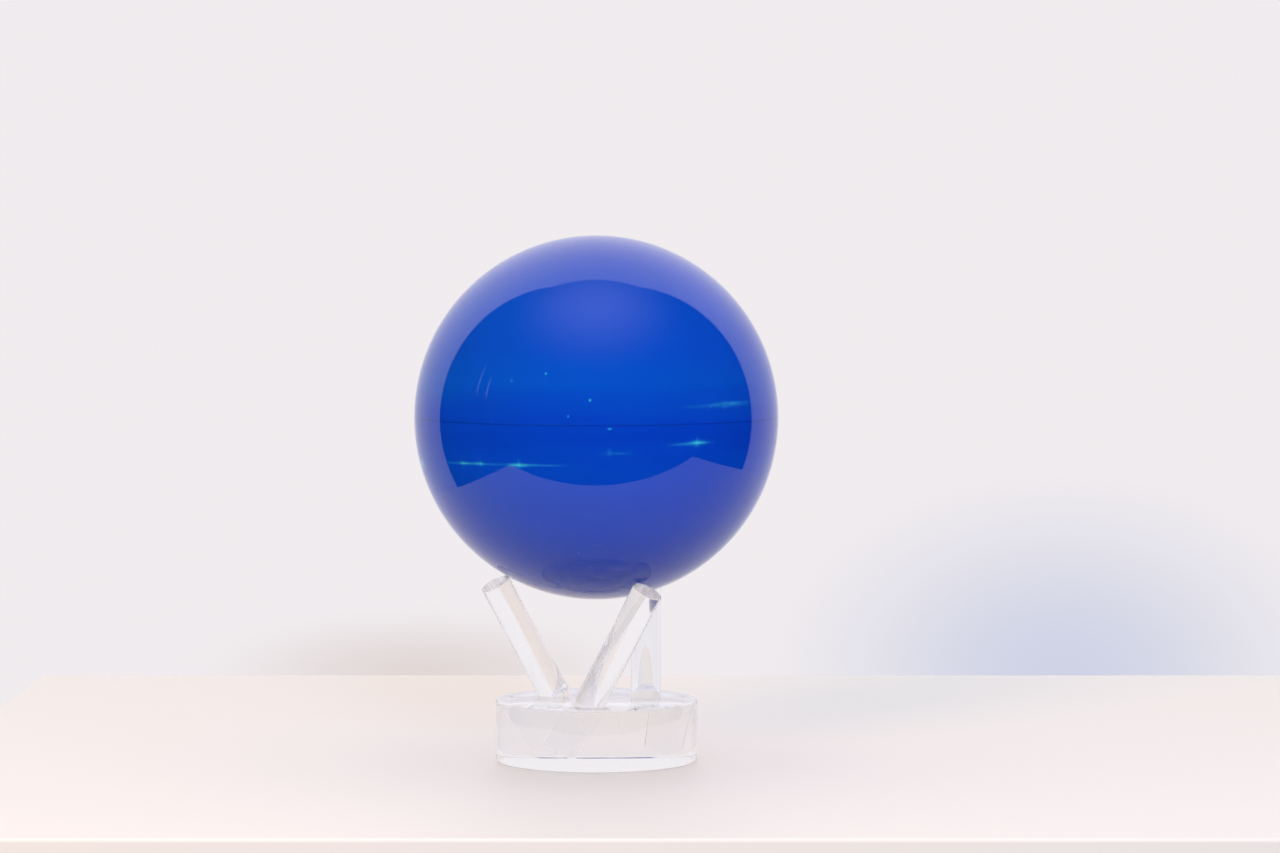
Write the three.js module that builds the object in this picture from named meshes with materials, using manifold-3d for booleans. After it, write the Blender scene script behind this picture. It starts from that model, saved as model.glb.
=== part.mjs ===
// Self-turning desktop globe on an acrylic stand, in millimetres, +Z up.
// The origin is the centre of the underside of the base disc. +X is to the right and +Y is to the rear.
import * as THREE from "three";
import { mergeVertices } from "three/addons/utils/BufferGeometryUtils.js";
import Module from "manifold-3d";

const wasm = await Module();
wasm.setup();

// ---- Driving dimensions ----

const GAP = 0.3; // left between pieces that touch or are glued
const RUNNING = 0.1; // radial play of a shaft in its bearing
const OVERCUT = 1; // how far a cutting tool passes the face that it leaves by

// Sides of a round piece, by its size.
const DISC_SIDES = 48;
const SPHERE_SIDES = 36;
const ROD_SIDES = 24;
const SLEEVE_SIDES = 18;
const PIN_SIDES = 16;
const STUD_SIDES = 12;
const HOLE_SIDES = 16;
const LEAD_SIDES = 8;

// Stand: 3/4 inch acrylic sheet and 3/8 inch acrylic rod.
const BASE_R = 31.75;
const BASE_H = 19.05;
const BASE_CHAMFER = 0.5;
const ROD_R = 4.7625;
const ROD_TOP_R = 31.6; // rod end centres, from the upright axis
const ROD_TOP_Z = 55.2;
const ROD_FOOT_R = 16.7; // where a rod's axis passes the top of the base
const ROD_TWIST = 38.1; // degrees round the axis from rod end back to rod foot
const ROD_EMBED = 15.7; // length of rod below the top of the base
const ROD_ANGLES = { rear: 60, left: 180, front: 300 }; // degrees, at the rod ends
const HEIGHT_ROUNDS = 6; // for the ball's resting height to settle
const DRILL_REACH = 6; // of the slanted drill above the top of the base, to clear all of the edge

// Ball and globe: 4 1/2 inch ball, concentric spherical walls.
const QUARTER_RINGS = 8;
const BALLAST_RINGS = 6;
const BALL_R = 57.15;
const BALL_WALL = 4;
const LIQUID_OUT_R = BALL_R - BALL_WALL - GAP;
const LIQUID_IN_R = 50.8;
const GLOBE_R = 50.5;
const GLOBE_WALL = 1.5;
const GLOBE_IN_R = GLOBE_R - GLOBE_WALL;
const PLUG_R = 2.7;
const RING_WALL = 1.5;
const RING_H = 6;

// Levels inside the globe, from its centre.
const BALLAST_TOP = -29.2;
const PLATE_T = 1.8;
const LOWER_PLATE_Z = BALLAST_TOP + GAP;
const LOWER_PLATE_R = 36;
const GEAR_PLATE_Z = -8.8;
const GEAR_PLATE_T = 1.2;
const GEAR_PLATE_R = 27.9;
const UPPER_PLATE_Z = 12;
const PLATE_HALF = 27.9;
const PLATE_CUT_R = 35; // corner radius of the square plate, to clear the holder's bevelled corners

// Standoffs and screws.
const STANDOFF_R = 2.4;
const STANDOFF_CIRCLE_R = 25;
const STANDOFF_ANGLES = [78, 198, 318];
const STUD_R = 1;
const STUD_L = 4;
const TAPPED_R = STUD_R + GAP;
const TAPPED_DEPTH = 6;
const SCREW_HEAD_R = 2.3;
const SCREW_HEAD_H = 1.5;
const SCREW_HEAD_EDGE = [0.5, 0.4]; // bevel of the head, inwards and down
const SCREW_SLOT_W = 0.6;
const SCREW_SLOT_DEPTH = 0.7;

// Gears. Tooth heights are in modules, and tooth widths are shares of the width at the pitch circle.
const MODULE = 0.6;
const ADDENDUM = 0.95;
const DEDENDUM = 1.25;
const TIP_WIDTH = 0.55;
const ROOT_WIDTH = 1.25;
const WHEEL_TEETH = 40;
const PINION_TEETH = 10;
const GEAR_T = 2.4;
const LOW_GEAR_Z = -7;
const HIGH_GEAR_Z = LOW_GEAR_Z + GEAR_T + GAP;
const CENTRE_DISTANCE = (MODULE * (WHEEL_TEETH + PINION_TEETH)) / 2;
const BACKLASH = 0.3;
const IDLER_XY = [CENTRE_DISTANCE, 0];
const MOTOR_ANGLE = 120; // degrees, from the idler's axis to the motor's
const MOTOR_XY = [
  IDLER_XY[0] + CENTRE_DISTANCE * Math.cos(radians(MOTOR_ANGLE)),
  IDLER_XY[1] + CENTRE_DISTANCE * Math.sin(radians(MOTOR_ANGLE)),
];
const HUB_R = 1.7;
const PIN_R = 0.8;
const PIN_COLLAR_GAP = [0.1, 0.2]; // below and above the collar that the idler turns on
const PIN_OVERHANG = 1;
const PINION_ROOT = 0.5; // how far the idler's sleeve enters its pinion

// Motor.
const MOTOR_R = 8;
const MOTOR_WALL = 0.8;
const END_CAP_Z = -26.8;
const END_CAP_T = 2;
const CAN_Z = END_CAP_Z + END_CAP_T + GAP;
const CAN_TOP = GEAR_PLATE_Z - GAP;
const MOTOR_SHAFT_R = 0.75;
const ARMATURE_R = 4.8;
const ARMATURE_Z = [-21.5, -12.5];
const RING_MAGNET_IN_R = 5.2;
const COMMUTATOR_R = 1.8;
const MOTOR_BOSS_R = 2.3;
const MOTOR_BOSS_DROP = 0.2; // of the boss below the top of the gear plate
const MOTOR_END_T = 1;
const END_BORE_DEPTH = 1.4;
const SHAFT_DEPTH = 1; // of the shaft's foot in the end cap
const BRUSH_SIZE = [0.8, 2];

// Compass.
const MAGNET_SHAFT_R = 1;
const MAGNET_SIZE = [42, 8, 8];
const MAGNET_Z = 1;
const MAGNET_HOLE_R = 2.3;
const MAGNET_HUB_R = 5;
const JEWEL_Z = LOWER_PLATE_Z + PLATE_T + GAP;
const JEWEL_R = 2.5;
const JEWEL_H = 2.5;
const JEWEL_FLOOR = 1;
const JEWEL_MOUTH_R = 1.4;
const POINT_R = 0.3; // flat at the tip of the shaft's cone, and at the bottom of the cup
const POINT_H = 2.2;
const BUSH_R = 2.5;
const BUSH_DROP = 1; // of the bush below the upper plate

// Solar panels on their holder.
const HOLDER_HALF = 29.4;
const HOLDER_WALL = 1.2;
const HOLDER_CORNER_R = 37;
const PANEL_Z = [-10, 26];
const PANEL_W = 46;
const PANEL_T = 1.2;
const LEAD_R = 0.5;
const LEAD_STEPS = 14;

// ---- Geometry helpers ----

function radians(degrees) {
  return (degrees * Math.PI) / 180;
}

function polar(radius, degrees, z = 0) {
  const a = radians(degrees);
  return new THREE.Vector3(radius * Math.cos(a), radius * Math.sin(a), z);
}

// A turned piece about +Z. The profile is [radius, z] pairs, bottom to top on the outside.
function turned(profile, sides = SLEEVE_SIDES) {
  const points = profile.map(([r, z]) => new THREE.Vector2(r, z));
  return new THREE.LatheGeometry(points, sides).rotateX(Math.PI / 2);
}

// A turned piece with a hole through it: the profile closes on itself.
function turnedRing(profile, sides = SLEEVE_SIDES) {
  return turned([...profile, profile[0]], sides);
}

function rod(radius, z0, z1, sides = STUD_SIDES) {
  return turned([[0, z0], [radius, z0], [radius, z1], [0, z1]], sides);
}

function sleeve(inner, outer, z0, z1, sides = SLEEVE_SIDES) {
  return turnedRing([[inner, z0], [outer, z0], [outer, z1], [inner, z1]], sides);
}

// Points of an arc about the ball's centre, from one latitude to another in degrees.
function arc(radius, from, to, steps) {
  return Array.from({ length: steps + 1 }, (_, i) => {
    const lat = radians(from + ((to - from) * i) / steps);
    return [radius * Math.cos(lat), radius * Math.sin(lat)];
  });
}

// A flat outline pulled up along +Z, with optional round holes given as [x, y, radius].
function plate(outline, z, thickness, holes = []) {
  const shape = new THREE.Shape(outline.map(([x, y]) => new THREE.Vector2(x, y)));
  for (const [x, y, r] of holes)
    shape.holes.push(new THREE.Path().absarc(x, y, r, 0, 2 * Math.PI, true));
  const options = { depth: thickness, bevelEnabled: false, curveSegments: HOLE_SIDES / 2 };
  return new THREE.ExtrudeGeometry(shape, options).translate(0, 0, z);
}

function circleOutline(radius, sides) {
  return Array.from({ length: sides }, (_, i) => {
    const p = polar(radius, (360 * i) / sides);
    return [p.x, p.y];
  });
}

// A square with its corners cut off where they would reach past cornerR.
function cutSquare(half, cornerR) {
  const side = Math.sqrt(cornerR ** 2 - half ** 2);
  const corner = [[half, -side], [half, side]];
  return [0, 90, 180, 270].flatMap((turn) =>
    corner.map(([x, y]) => {
      const c = Math.round(Math.cos(radians(turn)));
      const s = Math.round(Math.sin(radians(turn)));
      return [x * c - y * s, x * s + y * c];
    }),
  );
}

function solidOf(geometry) {
  const bare = geometry.clone();
  bare.deleteAttribute("normal");
  bare.deleteAttribute("uv");
  const merged = mergeVertices(bare, 1e-3);
  const vertProperties = new Float32Array(merged.attributes.position.array);
  const triVerts = new Uint32Array(merged.index.array);
  return new wasm.Manifold(new wasm.Mesh({ numProp: 3, vertProperties, triVerts }));
}

function geometryOf(solid) {
  const mesh = solid.getMesh();
  const geometry = new THREE.BufferGeometry();
  geometry.setAttribute("position", new THREE.BufferAttribute(mesh.vertProperties, 3));
  geometry.setIndex(new THREE.BufferAttribute(mesh.triVerts, 1));
  geometry.computeVertexNormals();
  return geometry;
}

function cut(geometry, tools) {
  return geometryOf(tools.reduce((solid, tool) => solid.subtract(solidOf(tool)), solidOf(geometry)));
}

function joined(first, ...others) {
  return geometryOf(others.reduce((solid, other) => solid.add(solidOf(other)), solidOf(first)));
}

// ---- Materials ----

function material(color, roughness, metalness = 0, opacity = 1) {
  const transparent = opacity < 1;
  return new THREE.MeshStandardMaterial({ color, roughness, metalness, opacity, transparent });
}

const CLEAR_ACRYLIC = material("#e9eef2", 0.05, 0, 0.3);
const LIGHT_OIL = material("#cfe0f2", 0.02, 0, 0.25);
const DENSE_LIQUID = material("#c4d8f0", 0.02, 0, 0.25);
const PRINTED_SHELL = material("#0a3fb4", 0.25);
const CREAM_PLASTIC = material("#d8d2c2", 0.5);
const WHITE_NYLON = material("#e6e4dc", 0.45);
const CAST_IRON = material("#4b4a48", 0.7, 0.8);
const ALUMINIUM = material("#b9bdc2", 0.35, 0.9);
const BRASS = material("#c29a4a", 0.3, 1);
const STEEL = material("#9ea1a6", 0.3, 1);
const NICKEL_MAGNET = material("#c6c8ca", 0.2, 1);
const FERRITE = material("#2f2e30", 0.6, 0.2);
const COPPER_WINDING = material("#a5572d", 0.4, 0.6);
const JEWEL_RUBY = material("#9c1f3a", 0.1);
const SOLAR_CELL = material("#16203c", 0.2, 0.1);
const LEAD_RED = material("#b3261e", 0.5);
const LEAD_BLACK = material("#1d1d1f", 0.5);

const part = new THREE.Group();
part.name = "desktop_globe";

function add(parent, name, geometry, finish) {
  const mesh = new THREE.Mesh(geometry, finish);
  mesh.name = name;
  parent.add(mesh);
  return mesh;
}

// ---- Stand ----

// Foot and end of a rod's axis. Every rod leans the same way round the stand.
function rodAxis(angle) {
  const foot = polar(ROD_FOOT_R, angle - ROD_TWIST, BASE_H);
  const end = polar(ROD_TOP_R, angle, ROD_TOP_Z);
  const along = end.clone().sub(foot).normalize();
  return { foot, end, along };
}

function along(axis, geometry, start) {
  const turn = new THREE.Quaternion().setFromUnitVectors(new THREE.Vector3(0, 0, 1), axis);
  return geometry.applyQuaternion(turn).translate(start.x, start.y, start.z);
}

function supportRod(angle) {
  const axis = rodAxis(angle);
  const start = axis.foot.clone().addScaledVector(axis.along, -ROD_EMBED);
  const length = axis.end.distanceTo(start);
  return along(axis.along, rod(ROD_R, 0, length, ROD_SIDES), start);
}

function socketTool(angle) {
  const axis = rodAxis(angle);
  const start = axis.foot.clone().addScaledVector(axis.along, -ROD_EMBED - GAP);
  return along(axis.along, rod(ROD_R + GAP, 0, ROD_EMBED + DRILL_REACH, ROD_SIDES), start);
}

function baseDisc() {
  const blank = turned(
    [
      [0, 0],
      [BASE_R - BASE_CHAMFER, 0],
      [BASE_R, BASE_CHAMFER],
      [BASE_R, BASE_H - BASE_CHAMFER],
      [BASE_R - BASE_CHAMFER, BASE_H],
      [0, BASE_H],
    ],
    DISC_SIDES,
  );
  return cut(blank, Object.values(ROD_ANGLES).map(socketTool));
}

// The ball comes to rest on the inner rims of the three square-cut rod ends. Which rim point is nearest
// depends a little on the height of the ball's centre, so the height is worked out a few times over.
function ballCentreHeight() {
  const { end, along: axis } = rodAxis(0);
  const reach = BALL_R + GAP;
  let height = end.z + reach;
  for (let round = 0; round < HEIGHT_ROUNDS; round += 1) {
    const inward = new THREE.Vector3(0, 0, height).sub(end).projectOnPlane(axis).normalize();
    const rim = end.clone().addScaledVector(inward, ROD_R);
    height = rim.z + Math.sqrt(reach ** 2 - rim.x ** 2 - rim.y ** 2);
  }
  return height;
}

add(part, "base_disc", baseDisc(), CLEAR_ACRYLIC);
for (const [side, angle] of Object.entries(ROD_ANGLES))
  add(part, `support_rod_${side}`, supportRod(angle), CLEAR_ACRYLIC);

// ---- Outer ball and its liquids ----

const ball = new THREE.Group();
ball.position.z = ballCentreHeight();
part.add(ball);

// Half of a spherical wall, with half the seam's gap left at the equator.
function halfShell(outer, inner) {
  const start = (radius) => (Math.asin(GAP / 2 / radius) * 180) / Math.PI;
  const profile = [
    ...arc(inner, 90, start(inner), QUARTER_RINGS),
    ...arc(outer, start(outer), 90, QUARTER_RINGS),
  ];
  profile[0][0] = 0;
  profile[profile.length - 1][0] = 0;
  return turned(profile, SPHERE_SIDES);
}

function lowerHalfShell(outer, inner) {
  return halfShell(outer, inner).rotateX(Math.PI);
}

function lowerOuterShell() {
  const hole = rod(PLUG_R + GAP, -BALL_R - OVERCUT, -BALL_R + BALL_WALL + OVERCUT);
  return cut(lowerHalfShell(BALL_R, BALL_R - BALL_WALL), [hole]);
}

function fillPlug() {
  const foot = -BALL_R;
  const top = foot + BALL_WALL;
  return turned([[0, foot], [PLUG_R - GAP, foot], [PLUG_R, foot + GAP], [PLUG_R, top], [0, top]]);
}

add(ball, "outer_shell_upper", halfShell(BALL_R, BALL_R - BALL_WALL), CLEAR_ACRYLIC);
add(ball, "outer_shell_lower", lowerOuterShell(), CLEAR_ACRYLIC);
add(ball, "fill_plug", fillPlug(), CREAM_PLASTIC);
add(ball, "float_liquid_upper", halfShell(LIQUID_OUT_R, LIQUID_IN_R), LIGHT_OIL);
add(ball, "float_liquid_lower", lowerHalfShell(LIQUID_OUT_R, LIQUID_IN_R), DENSE_LIQUID);

// ---- Inner globe: shells, joint ring and ballast ----

function standoffPlaces() {
  return STANDOFF_ANGLES.map((angle) => polar(STANDOFF_CIRCLE_R, angle));
}

function ballast() {
  const radius = GLOBE_IN_R - GAP;
  const rimLatitude = (Math.asin(BALLAST_TOP / radius) * 180) / Math.PI;
  const profile = [...arc(radius, -90, rimLatitude, BALLAST_RINGS), [0, BALLAST_TOP]];
  profile[0][0] = 0;
  const depth = LOWER_PLATE_Z + PLATE_T - STUD_L;
  const holes = standoffPlaces().map((p) =>
    rod(TAPPED_R, depth, BALLAST_TOP + OVERCUT).translate(p.x, p.y, 0),
  );
  return cut(turned(profile, SPHERE_SIDES), holes);
}

add(ball, "globe_shell_upper", halfShell(GLOBE_R, GLOBE_IN_R), PRINTED_SHELL);
add(ball, "globe_shell_lower", lowerHalfShell(GLOBE_R, GLOBE_IN_R), PRINTED_SHELL);
const ringR = GLOBE_IN_R - GAP;
const jointRing = sleeve(ringR - RING_WALL, ringR, -RING_H / 2, RING_H / 2, SPHERE_SIDES);
add(ball, "equator_joint_ring", jointRing, CREAM_PLASTIC);
add(ball, "ballast_weight", ballast(), CAST_IRON);

// ---- Drive frame ----

function standoffHoles() {
  return standoffPlaces().map((p) => [p.x, p.y, TAPPED_R]);
}

// A hexagonal standoff with a threaded stud below and a tapped hole on top.
function standoff(z0, z1) {
  const studEnd = z0 - STUD_L;
  const floor = z1 - TAPPED_DEPTH;
  const hexagon = turned(
    [
      [0, z0],
      [STANDOFF_R, z0],
      [STANDOFF_R, z1],
      [TAPPED_R, z1],
      [TAPPED_R, floor],
      [0, floor],
    ],
    6,
  );
  return joined(hexagon, rod(STUD_R, studEnd, z0 + OVERCUT));
}

function topScrew() {
  const seat = UPPER_PLATE_Z + PLATE_T + GAP;
  const headTop = seat + SCREW_HEAD_H;
  const foot = seat - STUD_L - PLATE_T;
  const [inwards, down] = SCREW_HEAD_EDGE;
  const head = turned(
    [
      [0, foot],
      [STUD_R, foot],
      [STUD_R, seat],
      [SCREW_HEAD_R, seat],
      [SCREW_HEAD_R, headTop - down],
      [SCREW_HEAD_R - inwards, headTop],
      [0, headTop],
    ],
    PIN_SIDES,
  );
  const slotLength = 2 * SCREW_HEAD_R + OVERCUT;
  const slot = new THREE.BoxGeometry(slotLength, SCREW_SLOT_W, 2 * SCREW_SLOT_DEPTH);
  return cut(head, [slot.translate(0, 0, headTop)]);
}

const lowerOutline = circleOutline(LOWER_PLATE_R, DISC_SIDES);
const lowerPlate = plate(lowerOutline, LOWER_PLATE_Z, PLATE_T, standoffHoles());
add(ball, "lower_frame_plate", lowerPlate, ALUMINIUM);

const gearPlateHoles = [
  ...standoffHoles(),
  [0, 0, MAGNET_SHAFT_R + GAP],
  [...IDLER_XY, PIN_R + GAP],
  [...MOTOR_XY, MOTOR_BOSS_R + GAP],
];
const gearPlateOutline = circleOutline(GEAR_PLATE_R, DISC_SIDES);
const gearPlate = plate(gearPlateOutline, GEAR_PLATE_Z, GEAR_PLATE_T, gearPlateHoles);
add(ball, "gear_plate", gearPlate, ALUMINIUM);

const upperPlateHoles = [...standoffHoles(), [0, 0, BUSH_R + GAP]];
const upperOutline = cutSquare(PLATE_HALF, PLATE_CUT_R);
const upperPlate = plate(upperOutline, UPPER_PLATE_Z, PLATE_T, upperPlateHoles);
add(ball, "upper_frame_plate", upperPlate, ALUMINIUM);

standoffPlaces().forEach((place, i) => {
  const lower = standoff(LOWER_PLATE_Z + PLATE_T + GAP, GEAR_PLATE_Z - GAP);
  const upper = standoff(GEAR_PLATE_Z + GEAR_PLATE_T + GAP, UPPER_PLATE_Z - GAP);
  add(ball, `lower_standoff_${i + 1}`, lower, BRASS).position.copy(place);
  add(ball, `upper_standoff_${i + 1}`, upper, BRASS).position.copy(place);
  add(ball, `top_screw_${i + 1}`, topScrew(), STEEL).position.copy(place);
});

// ---- Motor ----

const motor = new THREE.Group();
motor.position.set(...MOTOR_XY, 0);
ball.add(motor);

function motorCan() {
  const inner = MOTOR_R - MOTOR_WALL;
  const bossTop = GEAR_PLATE_Z + GEAR_PLATE_T - MOTOR_BOSS_DROP;
  const bore = MOTOR_SHAFT_R + RUNNING;
  return turnedRing([
    [inner, CAN_Z],
    [MOTOR_R, CAN_Z],
    [MOTOR_R, CAN_TOP],
    [MOTOR_BOSS_R, CAN_TOP],
    [MOTOR_BOSS_R, bossTop],
    [bore, bossTop],
    [bore, CAN_TOP - MOTOR_END_T],
    [inner, CAN_TOP - MOTOR_END_T],
  ]);
}

function motorEndCap() {
  const top = END_CAP_Z + END_CAP_T;
  const bore = MOTOR_SHAFT_R + RUNNING;
  return turned([
    [0, END_CAP_Z],
    [MOTOR_R, END_CAP_Z],
    [MOTOR_R, top],
    [bore, top],
    [bore, top - END_BORE_DEPTH],
    [0, top - END_BORE_DEPTH],
  ]);
}

const commutatorTop = ARMATURE_Z[0] - GAP;
const motorShaftFoot = END_CAP_Z + END_CAP_T - SHAFT_DEPTH;
const motorShaftTop = LOW_GEAR_Z + GEAR_T - GAP;

add(motor, "motor_can", motorCan(), STEEL);
add(motor, "motor_end_cap", motorEndCap(), CREAM_PLASTIC);
const ringMagnet = sleeve(RING_MAGNET_IN_R, MOTOR_R - MOTOR_WALL - GAP, ...ARMATURE_Z);
add(motor, "motor_ring_magnet", ringMagnet, FERRITE);
[1, -1].forEach((side, i) => {
  const height = commutatorTop - CAN_Z;
  const x = side * (COMMUTATOR_R + GAP + BRUSH_SIZE[0] / 2);
  const brush = new THREE.BoxGeometry(...BRUSH_SIZE, height).translate(x, 0, CAN_Z + height / 2);
  add(motor, `motor_brush_${i + 1}`, brush, COPPER_WINDING);
});
add(motor, "motor_shaft", rod(MOTOR_SHAFT_R, motorShaftFoot, motorShaftTop), STEEL);
const armature = sleeve(MOTOR_SHAFT_R + GAP, ARMATURE_R, ...ARMATURE_Z);
add(motor, "motor_armature", armature, COPPER_WINDING);
const commutator = sleeve(MOTOR_SHAFT_R + GAP, COMMUTATOR_R, CAN_Z, commutatorTop, PIN_SIDES);
add(motor, "motor_commutator", commutator, COPPER_WINDING);

// ---- Gears ----

// A spur gear outline: straight-sided teeth, thinned for backlash, a tooth centred on `phase` degrees.
function gearOutline(teeth, phase) {
  const pitchR = (MODULE * teeth) / 2;
  const rootR = pitchR - DEDENDUM * MODULE;
  const tipR = pitchR + ADDENDUM * MODULE;
  const pitchWidth = (Math.PI * MODULE) / 2 - BACKLASH;
  const spread = (radius, width) => (width / 2 / radius) * (180 / Math.PI);
  const flank = [
    [rootR, spread(rootR, pitchWidth * ROOT_WIDTH)],
    [tipR, spread(tipR, pitchWidth * TIP_WIDTH)],
  ];
  return Array.from({ length: teeth }, (_, i) => {
    const middle = phase + (360 * i) / teeth;
    const rising = flank.map(([r, half]) => polar(r, middle - half));
    const falling = flank.map(([r, half]) => polar(r, middle + half)).reverse();
    return [...rising, ...falling].map((p) => [p.x, p.y]);
  }).flat();
}

function gear(teeth, phase, z, boreR) {
  return plate(gearOutline(teeth, phase), z, GEAR_T, [[0, 0, boreR]]);
}

// Mesh rule: on the line of centres a wheel has a tooth and its pinion has a space.
const HALF_PINION_PITCH = 180 / PINION_TEETH;

const motorPinionPhase = MOTOR_ANGLE + 180 + HALF_PINION_PITCH;
const motorPinion = gear(PINION_TEETH, motorPinionPhase, LOW_GEAR_Z, MOTOR_SHAFT_R + GAP);
add(motor, "motor_pinion", motorPinion, BRASS);

const idler = new THREE.Group();
idler.position.set(...IDLER_XY, 0);
ball.add(idler);

function idlerPinion() {
  const bore = PIN_R + RUNNING;
  const toothed = gear(PINION_TEETH, 180 + HALF_PINION_PITCH, HIGH_GEAR_Z, bore);
  const hub = sleeve(bore, HUB_R, LOW_GEAR_Z, HIGH_GEAR_Z + PINION_ROOT, HOLE_SIDES);
  return joined(toothed, hub);
}

function idlerPin() {
  const collarFoot = GEAR_PLATE_Z + GEAR_PLATE_T + PIN_COLLAR_GAP[0];
  const collarTop = LOW_GEAR_Z - PIN_COLLAR_GAP[1];
  const top = HIGH_GEAR_Z + GEAR_T + PIN_OVERHANG;
  return turned(
    [
      [0, GEAR_PLATE_Z],
      [PIN_R, GEAR_PLATE_Z],
      [PIN_R, collarFoot],
      [HUB_R, collarFoot],
      [HUB_R, collarTop],
      [PIN_R, collarTop],
      [PIN_R, top],
      [0, top],
    ],
    PIN_SIDES,
  );
}

add(idler, "idler_pin", idlerPin(), STEEL);
add(idler, "idler_wheel", gear(WHEEL_TEETH, MOTOR_ANGLE, LOW_GEAR_Z, HUB_R + GAP), WHITE_NYLON);
add(idler, "idler_pinion", idlerPinion(), BRASS);

// ---- Compass: what the magnet holds still ----

function jewelCup() {
  return turned([
    [0, JEWEL_Z],
    [JEWEL_R, JEWEL_Z],
    [JEWEL_R, JEWEL_Z + JEWEL_H],
    [JEWEL_MOUTH_R, JEWEL_Z + JEWEL_H],
    [POINT_R, JEWEL_Z + JEWEL_FLOOR],
    [0, JEWEL_Z + JEWEL_FLOOR],
  ]);
}

function magnetShaft() {
  const foot = JEWEL_Z + JEWEL_FLOOR + GAP;
  const shoulder = foot + POINT_H;
  const top = UPPER_PLATE_Z + PLATE_T;
  return turned(
    [[0, foot], [POINT_R, foot], [MAGNET_SHAFT_R, shoulder], [MAGNET_SHAFT_R, top], [0, top]],
    PIN_SIDES,
  );
}

function magnetHub() {
  const bore = MAGNET_SHAFT_R + GAP;
  const flangeZ = HIGH_GEAR_Z + GEAR_T + GAP;
  const seat = MAGNET_Z - GAP;
  const tube = MAGNET_HOLE_R - GAP;
  const top = MAGNET_Z + MAGNET_SIZE[2];
  return turnedRing([
    [bore, flangeZ],
    [MAGNET_HUB_R, flangeZ],
    [MAGNET_HUB_R, seat],
    [tube, seat],
    [tube, top],
    [bore, top],
  ]);
}

function barMagnet() {
  const [length, width, height] = MAGNET_SIZE;
  const signs = [[1, -1], [1, 1], [-1, 1], [-1, -1]];
  const outline = signs.map(([x, y]) => [(x * width) / 2, (y * length) / 2]);
  return plate(outline, MAGNET_Z, height, [[0, 0, MAGNET_HOLE_R]]);
}

const bushTop = UPPER_PLATE_Z + PLATE_T;
const upperBush = sleeve(MAGNET_SHAFT_R + RUNNING, BUSH_R, UPPER_PLATE_Z - BUSH_DROP, bushTop);
add(ball, "jewel_cup", jewelCup(), JEWEL_RUBY);
add(ball, "shaft_bush", upperBush, BRASS);
add(ball, "magnet_shaft", magnetShaft(), STEEL);
add(ball, "output_gear", gear(WHEEL_TEETH, 0, HIGH_GEAR_Z, MAGNET_SHAFT_R + GAP), WHITE_NYLON);
add(ball, "magnet_hub", magnetHub(), BRASS);
add(ball, "bar_magnet", barMagnet(), NICKEL_MAGNET);

// ---- Solar panels, their holder and the leads to the motor ----

function panelHolder() {
  const [z0, z1] = PANEL_Z;
  const outer = plate(cutSquare(HOLDER_HALF, HOLDER_CORNER_R), z0, z1 - z0);
  const innerHalf = HOLDER_HALF - HOLDER_WALL;
  const hollow = cutSquare(innerHalf, HOLDER_CORNER_R - HOLDER_WALL);
  return cut(outer, [plate(hollow, z0 - OVERCUT, z1 - z0 + 2 * OVERCUT)]);
}

function lead(points) {
  const path = new THREE.CatmullRomCurve3(points.map((p) => new THREE.Vector3(...p)));
  const outline = circleOutline(LEAD_R, LEAD_SIDES).map(([x, y]) => new THREE.Vector2(x, y));
  const options = { steps: LEAD_STEPS, bevelEnabled: false, extrudePath: path };
  return new THREE.ExtrudeGeometry(new THREE.Shape(outline), options);
}

add(ball, "panel_holder", panelHolder(), CREAM_PLASTIC);
["right", "rear", "left", "front"].forEach((side, i) => {
  const [z0, z1] = PANEL_Z;
  const panel = new THREE.BoxGeometry(PANEL_T, PANEL_W, z1 - z0);
  panel.translate(HOLDER_HALF + GAP + PANEL_T / 2, 0, (z0 + z1) / 2);
  add(ball, `solar_panel_${side}`, panel.rotateZ((i * Math.PI) / 2), SOLAR_CELL);
});

// Each lead drops from the right-hand panel's lower edge and runs in to the side of the motor's end cap.
function capEdge(degrees) {
  const p = polar(MOTOR_R + GAP + LEAD_R, degrees);
  return [MOTOR_XY[0] + p.x, MOTOR_XY[1] + p.y, END_CAP_Z + END_CAP_T / 2];
}

const panelEdge = PANEL_Z[0] - GAP;
const leadRoutes = {
  lead_wire_red: [[30.3, 4, panelEdge], [29.5, 5, -14], [24.5, 10, -20.5], capEdge(0)],
  lead_wire_black: [[30.3, 9, panelEdge], [29.5, 10.5, -14], [22.5, 18, -21], capEdge(37)],
};
for (const [name, points] of Object.entries(leadRoutes))
  add(ball, name, lead(points), name.endsWith("red") ? LEAD_RED : LEAD_BLACK);

export default part;
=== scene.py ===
"""A self-turning desktop globe: a clear ball round a floating printed globe, on a clear acrylic stand.

Run by Blender. Everything is in metres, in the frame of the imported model.
"""

import math

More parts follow.
